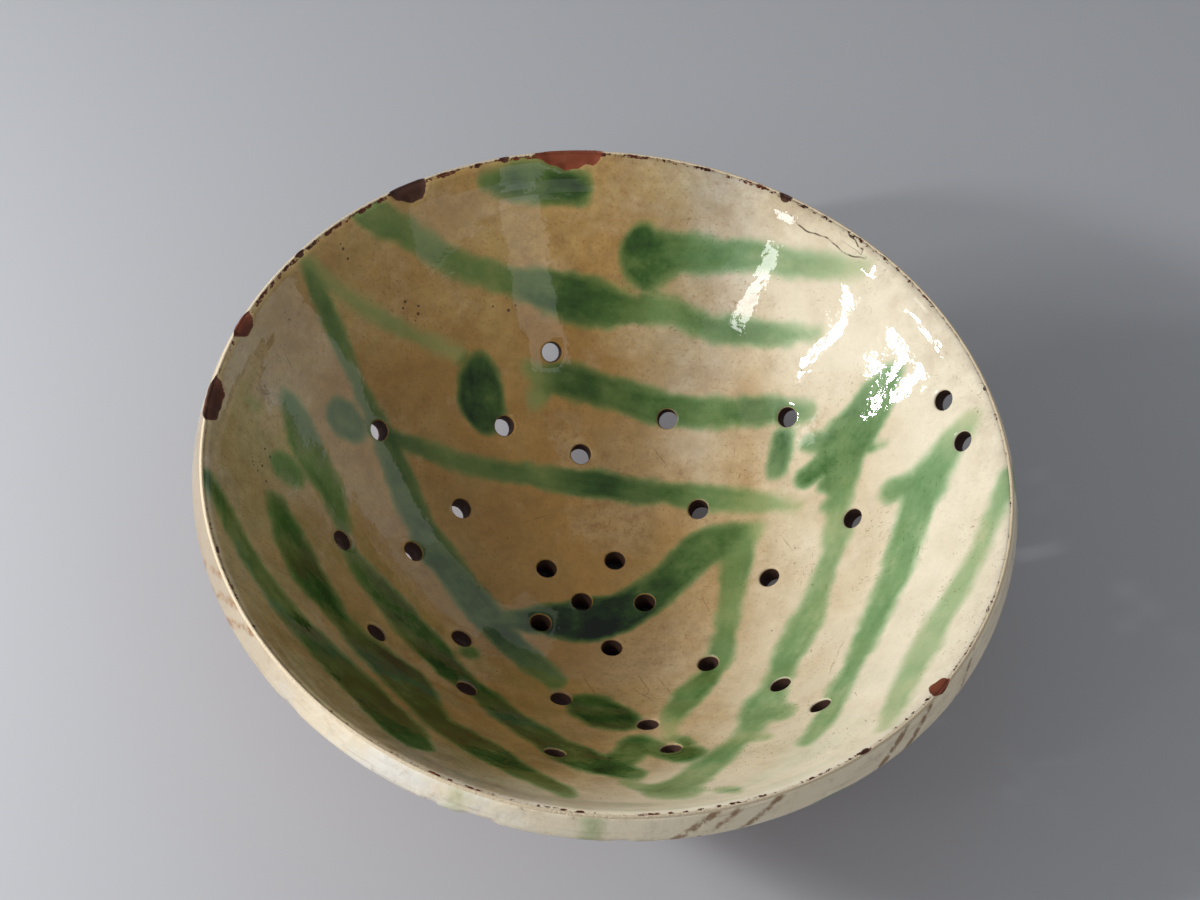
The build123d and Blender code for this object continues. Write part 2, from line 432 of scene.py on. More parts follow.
turned_foot, tree, shader = surface("turned_foot")
clay = use(tree, fired_clay, Age=0.35)
baked = ease(noise(tree, 30, 5, 0.65), 0.3, 0.65, 0.3, 0.8)
skin = blend(baked, clay.outputs["Color"], FIRED_SKIN)
_, axes = placing(tree)
rubbed = ease(axes["Z"], 0.002, 0.0)
wire(blend(rubbed, skin, OLD_CLAY), shader.inputs["Base Color"])
shader.inputs["Roughness"].default_value = 0.78
raise_height(shader, clay.outputs["Height"], CLAY_GRAIN)
foot_ring.data.materials.append(turned_foot)
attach(foot_ring, "root")
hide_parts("foot_ring")


# Rim collar: the thick roll of red clay folded out at the top of the wall while it was thrown, one with
# the wall, sharp-crested and undercut. Bare clay shows along its crest, where the glaze is rubbed away, and
# under its nose.
LIP_RADIUS = 174.64
SHOULDER = (173.9, 123.2)
AROUND = 1080
COLLAR_OUTLINE = np.array([
    (167.6, 114.9), (169.5, 117.0), (172.6, 121.0), (173.9, 123.3), (174.7, 124.45),
    (175.6, 124.0), (176.6, 121.4), (177.8, 117.0), (178.7, 113.2), (178.6, 110.7), (176.2, 109.4),
    (173.2, 108.7), (171.2, 108.4), (169.9, 110.0), (168.4, 112.6),
])
# Flakes knocked off the crest: bearing in degrees, length along the rim, reach down the inside, depth, age
CHIPS = np.array([
    (102.6, 31, 5.8, 1.6, 0.05), (128.7, 19, 6.0, 1.3, 0.85), (165.6, 17, 4.3, 1.2, 0.48),
    (179.6, 25, 5.2, 1.3, 0.55), (-32.2, 12, 4.4, 0.9, 0.32), (68.4, 7, 2.6, 0.7, 0.8),
    (-47.3, 6, 2.2, 0.6, 0.75), (113.0, 5, 2.2, 0.6, 0.7), (150.0, 6, 2.0, 0.6, 0.7),
])


def rim_gap(turn, bearing):
    """Distance along the rim from each bearing in degrees to each turn in radians, the short way round."""
    return ((turn[:, None] - np.radians(bearing) + pi) % (2 * pi) - pi) * LIP_RADIUS


def chip_distance(points):
    """Signed distance to the edge of the nearest flake, an oval laid on the crest, with its depth and age."""
    radius = np.hypot(points[:, 0], points[:, 1])[:, None]
    bearing, length, reach, depth, age = CHIPS.T
    along = rim_gap(np.arctan2(points[:, 1], points[:, 0]), bearing)
    down = np.where(radius < LIP_RADIUS, LIP_RADIUS - radius, (radius - LIP_RADIUS) * 3)
    wave = 0.05 * np.sin(along * 0.9 + bearing) + 0.06 * np.sin(along * 0.43 + 2 * bearing)
    oval = np.sqrt((2 * along / length) ** 2 + (down / reach) ** 2) - 1 + wave
    edge = oval * np.minimum(length / 2, reach)
    nearest = edge.argmin(1)
    return edge.min(1), depth[nearest], age[nearest]


# Bits broken from the nose: bearing in degrees, length along the rim, depth
NICKS = np.array([
    (-100.5, 15, 1.3), (-107.0, 6, 0.5), (-82.0, 8, 0.5), (-130.0, 9, 0.5), (35.0, 11, 0.8), (150.0, 9, 0.7),
])


def nose_nicks(turn):
    """Depth of the broken bits at each bearing: flat-bottomed hollows, one for each nick."""
    gap = rim_gap(turn, NICKS[:, 0])
    return (NICKS[:, 2] * np.exp(-((2 * gap / NICKS[:, 1]) ** 6))).sum(1)


def hand_rim(outline):
    """Outlines round the rim: the nose wanders in and out, the crest up and down, and the nicks cut the nose.

    Each effect fades in over a few millimetres: outside the lip, above the wall's top and below the nose.
    """
    turn = np.arange(AROUND) * 2 * pi / AROUND
    outlines = np.repeat(rounded(outline, 2)[None], AROUND, 0)
    outer = np.clip((outlines[..., 0] - 174.6) / 3, 0, 1)
    outlines[..., 0] += outer * wander(turn, 11, 0.16)[:, None]
    outlines[..., 1] += np.clip((outlines[..., 1] - 118) / 5, 0, 1) * (wander(turn, 12, 0.1) - 0.25)[:, None]
    outlines[..., 0] -= np.clip((114 - outlines[..., 1]) / 3, 0, 1) * nose_nicks(turn)[:, None]
    return outlines


FLAKE_SLOPE = 1.2
COLLAR_WAIST = 112
points, quads = carried_round(hand_rim(COLLAR_OUTLINE))
bare, depth, age = chip_distance(points)
sinking = depth * np.clip(-bare / FLAKE_SLOPE, 0, 1) * (points[:, 2] > COLLAR_WAIST)
points -= inside_square(points[:, :2]) * sinking[:, None]


# How much of the crest is rubbed bare, at bearings in degrees
RUBBED = np.array([
    (-180, 0.05), (-150, 0.02), (-120, 0.05), (-90, 0.09), (-60, 0.1), (-30, 0.04), (0, 0.02), (30, 0.01),
    (55, 0.07), (90, 0.15), (120, 0.15), (150, 0.13), (180, 0.05),
])


def crest_rub(points):
    """How far the crest is rubbed bare at points: by bearing, and less away from its inner shoulder."""
    turn = np.arctan2(points[:, 1], points[:, 0])
    away = np.hypot(np.hypot(points[:, 0], points[:, 1]) - SHOULDER[0], points[:, 2] - SHOULDER[1])
    share = np.interp(np.degrees(turn), *RUBBED.T)
    return share + 0.03 + wander(turn, 21, 0.03, 4, 30) - 0.34 * np.maximum(away - 0.4, 0)


rim_collar = mesh_piece(
    "rim_collar", points, quads, bare_edge=bare, bare_age=age, crest_rub=crest_rub(points))
THIN_GLAZE = (0.66, 0.54, 0.37, 1)
rubbed_crest, given, result = group(
    "rubbed_crest", [("Rub", "NodeSocketFloat", -1.0)], [("Bare", "NodeSocketFloat")])
worn = plus(noise(rubbed_crest, 280, 3, 0.65), given.outputs["Rub"])
wire(ease(worn, 0.54, 0.6), result.inputs["Bare"])
worn_crest, tree, shader = surface("worn_crest")
clay = use(tree, fired_clay, Age=0.55)
fresh = use(tree, fired_clay, Age=attribute(tree, "bare_age"))
chip = ease(attribute(tree, "bare_edge"), 0.4, -0.4)
worn = use(tree, rubbed_crest, Rub=attribute(tree, "crest_rub"))
tone = blend(worn.outputs["Bare"], THIN_GLAZE, clay.outputs["Color"])
tone = blend(chip, tone, fresh.outputs["Color"])
wire(tone, shader.inputs["Base Color"])
shader.inputs["Roughness"].default_value = 0.7
raise_height(shader, clay.outputs["Height"], 0.0006)
rim_collar.data.materials.append(worn_crest)
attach(rim_collar, "root")
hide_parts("rim_collar")


# Glaze lining: a glossy cream to honey glaze poured over the inside and fired on, rolled into each hole and
# thin at the crest. The copper green was brushed on the raw coat and melted into it, so the strokes bleed.
# Brush strokes in plan, each a list of points along it: x, y, width, and how much copper is there
STROKES = [
    [(-76, 150, 6, 1.1), (-62, 155, 11, 2.0), (-48, 158, 12, 1.9), (-34, 160, 10, 2.2),
     (-28, 160, 7, 1.8)],
    [(0, 145, 18, 2.2), (4, 142, 19, 2.0), (20, 145, 13, 1.4), (40, 144, 11, 1.2), (55, 144, 10, 1.1),
     (75, 138, 9, 0.9), (90, 135, 8, 0.7), (105, 131, 6, 0.3)],
    [(4, 141, 16, 1.9), (5, 137, 9, 1.7), (4.5, 132.5, 2, 1.5)],
    [(-128, 117, 12, 0.92), (-112, 120, 12, 1.01), (-80, 121, 10, 1.01), (-60, 123, 9, 1.1),
     (-40, 124, 14, 1.56), (-25, 125, 17, 1.93), (-10, 125, 14, 1.66), (0, 126, 10, 1.29),
     (20, 126, 9, 1.1), (40, 120, 10, 1.2), (60, 117, 9, 1.1), (75, 114, 8, 0.92), (88, 112, 6, 0.55)],
    [(-146, 82, 8, 1.2), (-138, 76, 10, 1.4), (-125, 62, 7, 1.2), (-112, 48, 8, 1.3), (-104, 42, 11, 1.5),
     (-95, 27, 15, 1.5), (-85, 12, 14, 1.6), (-75, 0, 18, 1.7), (-60, -12, 16, 1.6), (-50, -22, 17, 1.9),
     (-40, -33, 15, 1.9), (-30, -41, 14, 1.6), (-20, -49, 14, 1.5), (-10, -57, 11, 1.3)],
    [(-148, 85, 8, 0.35), (-125, 85, 8, 0.4), (-100, 87, 8, 0.45), (-75, 90, 7, 0.3)],
    [(-66, 90, 10, 2.04), (-65, 82, 20, 2.64), (-63, 75, 23, 2.76), (-60, 68, 12, 2.16)],
    [(-45, 96, 6, 0.54), (-38, 93, 10, 0.65), (-28, 95, 14, 1.84), (-10, 94, 13, 1.84), (0, 94, 12, 1.73),
     (20, 90, 14, 1.73), (40, 88, 12, 1.51), (60, 87, 12, 1.51), (75, 86, 10, 1.3), (88, 82, 8, 0.86)],
    [(-40, 84, 9, 0.5), (-35, 88, 9, 0.5)],
    [(-110, 41, 8, 1.09), (-90, 44, 8, 1.2), (-75, 46, 9, 1.2), (-60, 48, 9, 1.29), (-45, 51, 9, 1.29),
     (-30, 52, 9, 1.29), (-8, 54, 13, 1.69), (0, 54, 13, 1.69), (15, 53, 11, 1.39), (30, 53, 10, 1.29),
     (55, 50, 13, 1.2), (65, 48, 11, 0.89), (75, 46, 9, 0.6), (90, 41, 7, 0.25)],
    [(79, 75, 9, 1.7), (79, 68, 10, 1.8), (78, 60, 8, 1.6)],
    [(122, 88, 9, 0.9), (119, 83, 14, 1.1), (113, 75, 20, 1.4), (106, 65, 24, 1.5), (106, 53, 17, 1.4),
     (107, 42, 11, 1.0), (107, 32, 9, 0.75), (106, 20, 10, 0.6)],
    [(100, 68, 9, 1.4), (92, 69, 7, 1.3), (88, 69, 6, 1.2)],
    [(101, 59, 10, 1.8), (95, 56, 10, 2.1), (90.5, 53.7, 9, 2.0)],
    [(105, 51, 9, 1.4), (101, 49, 8, 1.4), (98.5, 48, 7, 1.3)],
    [(107, 41, 8, 1.1), (103, 39, 7, 1.1), (100.5, 38.5, 6, 1.0)],
    [(116, 59, 6, 1.0), (124, 58.7, 3, 0.7)],
    [(110, 25, 9, 0.7), (105, 10, 10, 0.88), (103, 0, 10, 0.88), (97, -22, 15, 0.97), (90, -42, 13, 1.1),
     (86, -60, 11, 1.0), (80, -74, 17, 1.06), (74, -94, 9, 1.0), (66, -106, 11, 1.1), (57, -121, 14, 1.2),
     (50, -133, 15, 1.3), (41, -141, 14, 1.6), (33, -140, 9, 1.3), (24, -134, 6, 0.7)],
    [(82, -78, 12, 1.1), (89, -80, 12, 1.0)],
    [(75, -97, 8, 0.5), (83, -98.5, 7, 0.45)],
    [(157, 55, 9, 0.28), (150, 47, 15, 0.74), (142, 35, 18, 1.01), (137, 15, 14, 1.01),
     (134, -5, 13, 1.01), (127, -25, 12, 1.01), (120, -47, 10, 0.92), (112, -70, 9, 0.92),
     (107, -88, 9, 0.83), (97, -110, 7, 0.64)],
    [(136, 36, 10, 1.0), (128, 36, 12, 1.0)],
    [(173, 22, 7, 0.82), (171, 10, 8, 0.7), (165, -10, 8, 0.53), (155, -33, 10, 0.57),
     (146, -55, 12, 0.57), (138, -75, 11, 0.53), (130, -100, 9, 0.41), (125, -115, 6, 0.25)],
    [(-50, -30, 9, 0.8), (-35, -26, 12, 1.3), (-20, -22, 16, 3.0), (0, -18, 23, 4.0), (15, -11, 21, 3.0),
     (28, 1, 17, 2.3), (38, 13, 17, 2.0), (47, 25, 19, 2.1), (55, 29, 18, 1.9), (63, 31, 14, 1.2)],
    [(60, 30, 15, 1.2), (66, 31, 14, 0.9), (72, 34, 8, 0.4)],
    [(61, 31, 17, 1.08), (65, 20, 15, 1.08), (64, 0, 12, 0.76), (63, -20, 11, 0.86), (62, -35, 11, 1.08),
     (57, -48, 11, 1.3), (50, -60, 14, 1.4), (45, -70, 12, 1.19), (42, -80, 8, 0.43), (43, -92, 7, 0.27)],
    [(-123, 37, 16, 1.7), (-119, 36, 17, 1.7)],
    [(-145, 28, 9, 1.03), (-135, 14, 17, 1.49), (-125, 4, 15, 1.49), (-118, -5, 12, 1.38),
     (-113, -15, 8, 1.15)],
    [(-158, 15, 5, 0.4), (-158, 11, 5, 0.4)],
    [(-141, -4, 13, 1.1), (-139, -4, 14, 1.1)],
    [(-169, -38, 6, 1.56), (-160, -48, 7, 1.72), (-143, -69, 9, 1.88), (-124, -86, 13, 2.02),
     (-114, -92, 16, 2.18), (-103, -101, 18, 2.34), (-91, -109, 20, 2.5), (-80, -120, 21, 2.5),
     (-69, -132, 20, 2.34), (-62, -140, 13, 1.88)],
    [(-141, -24, 9, 1.68), (-131, -41, 16, 2.09), (-121, -54, 18, 2.2), (-112, -63, 13, 2.2),
     (-105, -69, 11, 2.26), (-97, -76, 13, 2.37), (-85, -81, 19, 2.61), (-73, -90, 23, 2.76),
     (-65, -101, 17, 2.6), (-57, -112, 13, 2.45), (-45, -118, 17, 2.61), (-34, -124, 19, 2.61),
     (-26, -132, 16, 2.26), (-14, -140, 13, 1.99), (0, -150, 11, 1.68), (2, -156, 7, 1.22)],
    [(-113, -20, 7, 1.35), (-107, -26, 8, 1.49), (-99, -33, 12, 1.76), (-88, -41, 16, 2.04),
     (-77, -50, 17, 2.17), (-66, -59, 17, 2.09), (-56, -68, 14, 1.98), (-49, -73, 10, 1.9),
     (-40, -78, 12, 2.04), (-31, -86, 14, 2.17), (-20, -95, 14, 2.17), (-5, -107, 17, 2.3),
     (5, -113, 20, 2.17), (15, -119, 19, 2.04), (27, -125, 13, 1.62)],
    [(-85, 11, 3, 2.6), (-80.5, 9.3, 4, 3.2), (-76, 7.5, 3, 2.6)],
    [(-52, -53, 8, 1.2), (-48, -51, 8, 1.2)],
    [(3, -71, 16, 2.2), (10, -74, 21, 2.53), (16, -76, 21, 2.42), (22, -79, 15, 1.98)],
    [(29, -96, 15, 1.8), (34, -98, 14, 1.7), (40, -104, 10, 1.8), (49, -106, 16, 2.3),
     (54, -104, 10, 1.8)],
    [(47, -93, 7, 1.5), (51, -98, 8, 1.7)],
    [(28, -99, 15, 1.6), (25, -108, 14, 1.6), (18, -117, 15, 1.6)],
    [(36, -145, 12, 0.9), (46, -146, 16, 1.0), (54, -142, 9, 0.7)],
    [(62, -145, 7, 0.9), (70, -147, 7, 0.8)],
]
# Distance given where no stroke is near, disc spacing, reach of a stroke's field, width of its soft edge,
# shift from one stroke's brush streaks to the next one's, and passes that smooth a stroke's line
FAR_OFF = 30.0
DISC_STEP = 1.2
STROKE_REACH = 26
BLEED = 9
STREAK_SHIFT = 40
SMOOTHINGS = 6


def stroke_fields(plan):
    """Distance to the painted edge, copper, and place across and along the stroke at plan points.

    A stroke is a row of discs along a smooth line through its points; its field is the least distance to any
    disc, below nought inside. Where strokes lie over each other the stronger copper rules: the cube root of
    the sum of cubes.
    """
    edge = np.full(len(plan), FAR_OFF)
    copper = np.zeros(len(plan))
    weight = np.zeros(len(plan))
    across = np.zeros(len(plan))
    along = np.zeros(len(plan))
    for number, stroke in enumerate(STROKES):
        line = np.array(stroke, float)
        knots = np.concatenate([[0], np.cumsum(np.hypot(*np.diff(line[:, :2], axis=0).T))])
        at = np.linspace(0, knots[-1], max(4, int(knots[-1] / DISC_STEP)))
        row = np.column_stack([np.interp(at, knots, column) for column in line.T])
        for _ in range(SMOOTHINGS):
            padded = np.concatenate([row[:1], row, row[-1:]])
            row = 0.25 * padded[:-2] + 0.5 * padded[1:-1] + 0.25 * padded[2:]
        least, most = row[:, :2].min(0) - STROKE_REACH, row[:, :2].max(0) + STROKE_REACH
        near = np.flatnonzero((plan > least).all(1) & (plan < most).all(1))
        gap = np.linalg.norm(plan[near, None] - row[None, :, :2], axis=2) - row[:, 2] / 2
        best = gap.argmin(1)
        field = gap[np.arange(len(near)), best]
        cover = np.clip(0.5 - field / BLEED, 0, 1)
        run = np.gradient(row[:, :2], axis=0)
        run /= np.linalg.norm(run, axis=1, keepdims=True)
        offset = plan[near] - row[best, :2]
        sideways = run[best, 0] * offset[:, 1] - run[best, 1] * offset[:, 0]
        onward = at[best] + (run[best] * offset).sum(1)
        ruling = field < edge[near]
        across[near] = np.where(ruling, sideways + STREAK_SHIFT * number, across[near])
        along[near] = np.where(ruling, onward, along[near])
        edge[near] = np.minimum(edge[near], field)
        copper[near] += (row[best, 3] * cover) ** 3
        weight[near] = np.maximum(weight[near], cover)
    return edge, np.cbrt(copper) / np.maximum(weight, 0.05), across, along


lining_rings = np.concatenate([np.linspace(0, 166, 84), np.linspace(166.8, 173.6, 10)])
rolled = [(0.35, 0.9, 0), (0.7, 0.9, 0), (1, 0.9, -0.05), (1, 0.7, 0.02), (1, 0.45, 0.2), (1, 0.22, 0.55),
          (1, 0.06, 1.1), (1, 0.0, 1.8), (1, 0.02, 3.4), (1, 0.06, 6.5)]
LINING_BLOCK = 5
plan, sink, axis, quads, _, _ = pierced_sheet(lining_rings, DRAIN_HOLES, LINING_BLOCK, rolled)
radius = np.hypot(*plan.T)
edge, copper, across, along = stroke_fields(plan)
points = np.column_stack([plan, inside_height(radius)])
bare, depth, age = chip_distance(points)
turn = np.arctan2(plan[:, 1], plan[:, 0])
LIP_FROM, LIP_WIDTH, LIP_DROP = 172.2, 1.4, 1.1
drop = sink + depth * np.clip(-bare, 0, 1) + LIP_DROP * np.clip((radius - LIP_FROM) / LIP_WIDTH, 0, 1)
points -= axis * drop[:, None]
# Hairline cracks below the far rim and small scratches: from one plan point to another, strength
SCRATCHES = np.array([
    (70, 153.2, 100.5, 135.8, 1), (94.5, 145.1, 101.2, 138.6, 0.9), (28, -50, 31, -55, 0.5),
    (37, -51, 39.5, -55, 0.5), (4, -55, 6.5, -59, 0.5), (27, -58, 31, -61, 0.5), (112, -42, 108, -56, 0.35),
    (52, -2, 54, -6, 0.4), (-62, 119, -56, 121, 0.4), (22, 71, 26, 67, 0.4), (-33, 30, -28, 33, 0.4),
    (85, 26, 87, 23, 0.3), (-158, 27, -154, 24, 0.6), (-157, 23, -153, 21, 0.5), (-150, 45, -147, 42, 0.5),
])
# Places where brown specks crowd: plan point and reach
CROWDS = np.array([
    (-133, 101, 10), (-101, 95, 13), (-152, 62, 8), (-150, -14, 9), (-146, -2, 7), (-60, 118, 14),
    (5, 60, 12),
])


def scratch_lines(plan):
    """Signed distance to the nearest scratch's line, and its strength, which fades out 2 to 4 mm away."""
    start, run = SCRATCHES[:, :2], SCRATCHES[:, 2:4] - SCRATCHES[:, :2]
    length = np.hypot(*run.T)
    offset = plan[:, None] - start
    along = (offset * run).sum(2) / length
    side = (offset[..., 1] * run[:, 0] - offset[..., 0] * run[:, 1]) / length
    side += 0.02 * length * np.sin(3 * pi * along / length) + 0.1 * np.sin(along)
    gap = np.hypot(np.maximum(np.abs(along - length / 2) - length / 2, 0), side)
    nearest = gap.argmin(1)
    row = np.arange(len(plan))
    return side[row, nearest], np.clip(2 - gap[row, nearest] / 2, 0, 1) * SCRATCHES[nearest, 4]


scratch_side, scratch_near = scratch_lines(plan)
speckle = np.exp(-(((plan[:, None] - CROWDS[:, :2]) ** 2).sum(2) / CROWDS[:, 2] ** 2)).sum(1)
# How the glaze rolls over inside the lip: plan radius, and how many degrees its slope changes there
LIP_ROLL = np.array([(159.0, 0), (164.0, 3.5), (166.3, 0.5), (168.6, -3), (173.6, -7)])
LIP_STEP = 0.2
lip_radius = np.arange(LIP_ROLL[0, 0], LIP_ROLL[-1, 0] + LIP_STEP, LIP_STEP)
lip_bend = np.radians(np.interp(lip_radius, *LIP_ROLL.T)) * LIP_STEP / np.cos(inside_slope(lip_radius))
lip_rise = np.interp(radius, lip_radius, np.cumsum(lip_bend))
# Dirt below the rim, most of it at the far side
rim_dirt = np.clip((radius - 150) / 22, 0, 1) * (0.55 + 0.45 * np.sin(turn))
glaze_lining = mesh_piece(
    "glaze_lining", points, quads, stroke_edge=edge, copper=copper, stroke_across=across, stroke_along=along,
    bare_edge=bare, bare_age=age, hole_depth=sink, crest_rub=crest_rub(points), scratch_side=scratch_side,
    scratch_near=scratch_near, speckle=speckle, rim_dirt=rim_dirt, lip_rise=lip_rise)
thickness = glaze_lining.modifiers.new("thickness", "SOLIDIFY")
thickness.thickness = 0.5 * MM
thickness.offset = -1

CREAM = (0.88, 0.795, 0.612, 1)
# A bluish grey tint; at the far side it is a painted sheen
GREYING = (0.92, 1.07, 1.43, 1)
HONEY = (0.50, 0.335, 0.125, 1)
OCHRE = (0.34, 0.175, 0.042, 1)
UMBER = (0.24, 0.12, 0.045, 1)
MILKY = (0.60, 0.45, 0.26, 1)
SPECK = (0.07, 0.032, 0.016, 1)
PEEL_DEPTH = 0.00021


def cells(place, scale):
    """Scattered cells over a place: the distance to the nearest cell's point, and a random draw per cell."""
    tree = place.id_data
    node = tree.nodes.new("ShaderNodeTexVoronoi")
    wire(place, node.inputs["Vector"])
    node.inputs["Scale"].default_value = scale
    split = tree.nodes.new("ShaderNodeSeparateColor")
    wire(node.outputs["Color"], split.inputs[0])
    return node.outputs["Distance"], split.outputs[0]


cream_coat, given, result = group(
    "cream_coat", [("Paleness", "NodeSocketFloat", 0.0), ("Dirt", "NodeSocketFloat", 1.0),
                   ("Speckle", "NodeSocketFloat", 0.0)],
    [("Color", "NodeSocketColor"), ("Specks", "NodeSocketFloat")])
place, axes = placing(cream_coat)
# Honey at the left to cream at the right, paler high up and at the near side; less pale at the far left,
# which is painted shade
drift = times(noise(cream_coat, 11, 4, 0.6), 0.9)
pale = plus(times(axes["X"], 5.4), drift)
high = ease(axes["Z"], 0.06, 0.12, 0, 0.16)
pale = plus(plus(pale, high), given.outputs["Paleness"])
near = ease(axes["Y"], -0.11, -0.16, -0.12, 0.2)
# Painted shade: darker honey at the far left
far = times(ease(axes["Y"], 0.07, 0.15, 0, 0.3), ease(axes["X"], 0.05, -0.02))
pale = ease(minus(plus(pale, near), far), 0.2, 1.2)
tone = blend(pale, HONEY, CREAM)
# Where the coat is honey: ochre pools on the floor, milky clouds, and soil
middle = cream_coat.nodes.new("ShaderNodeVectorMath")
middle.operation = "DISTANCE"
wire(place, middle.inputs[0])
middle.inputs[1].default_value = (-0.02, 0.01, 0.03)
depth = times(middle.outputs["Value"], 2.0)
pool = minus(noise(cream_coat, 16, 4, 0.6), depth)
pool = ease(pool, 0.05, 0.45, 0, 0.85)
warm = minus(1.0, pale)
tone = blend(times(pool, warm), tone, OCHRE)
milk = ease(noise(cream_coat, 27, 5, 0.65), 0.5, 0.72, 0, 0.55)
tone = blend(times(milk, warm), tone, MILKY)
soil = times(given.outputs["Dirt"], ease(pale, 0.2, 0.9, 1, 0.25))
cloud = ease(noise(cream_coat, 55, 5, 0.65), 0.35, 0.75, 0, 0.45)
tone = blend(times(cloud, soil), tone, OCHRE)
smear = times(ease(noise(cream_coat, 24, 3), 0.52, 0.7),
              ease(noise(cream_coat, 190, 4, 0.7), 0.45, 0.7, 0, 0.5))
tone = blend(times(smear, soil), tone, UMBER)
# Greyer in a patch at the far side, which is a painted sheen of a pale wall, and greyer along the left
far_sheen = times(ease(axes["X"], -0.03, 0.03), ease(axes["X"], 0.065, 0.025))
far_sheen = times(far_sheen, ease(axes["Y"], 0.04, 0.12))
left = plus(times(axes["X"], -0.8), times(axes["Y"], -0.45))
left = ease(left, 0.07, 0.12)
tone = blend(plus(far_sheen, left), tone, GREYING, "MULTIPLY")
mottle = ease(noise(cream_coat, 120, 5, 0.75), 0.3, 0.7, 0.86, 1.1)
tone = blend(soil, tone, mottle, "MULTIPLY")
grain = ease(noise(cream_coat, 620, 3, 0.7), 0.54, 0.72, 0, 0.55)
tone = blend(times(grain, soil), tone, UMBER)
# Brown flecks in three directions, round specks, and fine pepper where specks crowd
patchy = ease(noise(cream_coat, 34, 2), 0.45, 0.65)
for stretch in ((1, 4.5, 1), (4.5, 1, 1), (3.2, -3.2, 0.8)):
    fleck = ease(noise(cream_coat, 260, 2, 0.5, stretch=stretch), 0.66, 0.73, 0, 0.62)
    fleck = times(times(fleck, patchy), given.outputs["Dirt"])
    tone = blend(fleck, tone, UMBER)
gap, draw = cells(place, 120)
crowd = times(given.outputs["Speckle"], 0.35)
crowd = plus(noise(cream_coat, 20, 2), crowd)
size = ease(plus(draw, crowd), 1.05, 1.5, 0, 0.06)
dots = ease(minus(gap, size), 0.0, -0.03)
gap, draw = cells(place, 300)
size = ease(times(draw, given.outputs["Speckle"]), 0.22, 0.85, 0, 0.3)
fine = ease(minus(gap, size), 0.0, -0.06)
marks = times(maths("MAXIMUM", dots, fine), given.outputs["Dirt"])
tone = blend(times(marks, 0.85), tone, SPECK)
wire(tone, result.inputs["Color"])
wire(marks, result.inputs["Specks"])

# How much of the light copper lets through, at shares of a full pool
FULL_POOL = 4.0
THROUGH_COPPER = (
    (0.125, (0.56, 0.78, 0.65, 1)), (0.25, (0.31, 0.565, 0.395, 1)), (0.5, (0.094, 0.265, 0.118, 1)),
    (0.75, (0.024, 0.086, 0.032, 1)),
)
UNDER_COPPER = (0.48, 0.46, 0.175, 1)
copper_stain, given, result = group(
    "copper_stain", [("Color", "NodeSocketColor", (1, 1, 1, 1)), ("Edge", "NodeSocketFloat", FAR_OFF),
                     ("Copper", "NodeSocketFloat", 0.0)],
    [("Color", "NodeSocketColor")])
ragged = plus(times(noise(copper_stain, 60, 2, 0.5), 6.0), times(noise(copper_stain, 140, 2, 0.5), 2.6))
ragged = minus(ragged, 4.3)
inside = plus(given.outputs["Edge"], ragged)
cover = ease(inside, 2.6, -3.2)
mottle = times(noise(copper_stain, 60, 5, 0.65), 1.8)
mottle = plus(-0.5, mottle)
cloud = times(noise(copper_stain, 26, 2), 1.2)
mottle = plus(mottle, cloud)
lip = times(ease(inside, 0.4, -1.0), ease(inside, -3.4, -1.0))
lip = times(lip, ease(noise(copper_stain, 28, 2), 0.5, 0.65, 0, 0.16))
mottle = plus(mottle, lip)
density = times(cover, given.outputs["Copper"])
density = times(density, mottle)
ramp = copper_stain.nodes.new("ShaderNodeValToRGB")
wire(maths("DIVIDE", density, FULL_POOL), ramp.inputs["Fac"])
stops = ramp.color_ramp.elements
stops[0].position, stops[0].color = 0.0, (1, 1, 1, 1)
stops[1].position, stops[1].color = 1.0, (0.006, 0.020, 0.006, 1)
for at, colour in THROUGH_COPPER:
    stops.new(at).color = colour
under = times(cover, 0.45)
under = blend(under, given.outputs["Color"], UNDER_COPPER)
stained = blend(1.0, under, ramp.outputs["Color"], "MULTIPLY")
wire(stained, result.inputs["Color"])

lining_gloss, tree, shader = surface("lining_gloss")
coat = use(tree, cream_coat, Dirt=1.0, Speckle=attribute(tree, "speckle"))
grime = ease(noise(tree, 70, 4, 0.65), 0.35, 0.7, 0, 0.35)
grime = times(attribute(tree, "rim_dirt"), grime)
tone = blend(grime, coat.outputs["Color"], UMBER)
scratch = ease(maths("ABSOLUTE", attribute(tree, "scratch_side")), 0.34, 0.12)
broken = ease(noise(tree, 330, 2), 0.36, 0.55, 0.3, 1.0)
scratch = times(times(scratch, attribute(tree, "scratch_near")), broken)
tone = blend(scratch, tone, SPECK)
ground = tone
brush = tree.nodes.new("ShaderNodeCombineXYZ")
wire(attribute(tree, "stroke_across"), brush.inputs["X"])
wire(attribute(tree, "stroke_along"), brush.inputs["Y"])
streak = ease(noise(tree, 1, 3, 0.6, brush.outputs[0], (0.42, 0.06, 1)), 0.3, 0.7, 0.95, 1.05)
load = times(attribute(tree, "copper"), streak)
stain = use(tree, copper_stain, Color=tone, Edge=attribute(tree, "stroke_edge"), Copper=load)
clay = use(tree, fired_clay, Age=attribute(tree, "bare_age"))
ragged_chip = times(minus(noise(tree, 260, 2), 0.5), 0.5)
chipped = ease(plus(attribute(tree, "bare_edge"), ragged_chip), 0.12, -0.12)
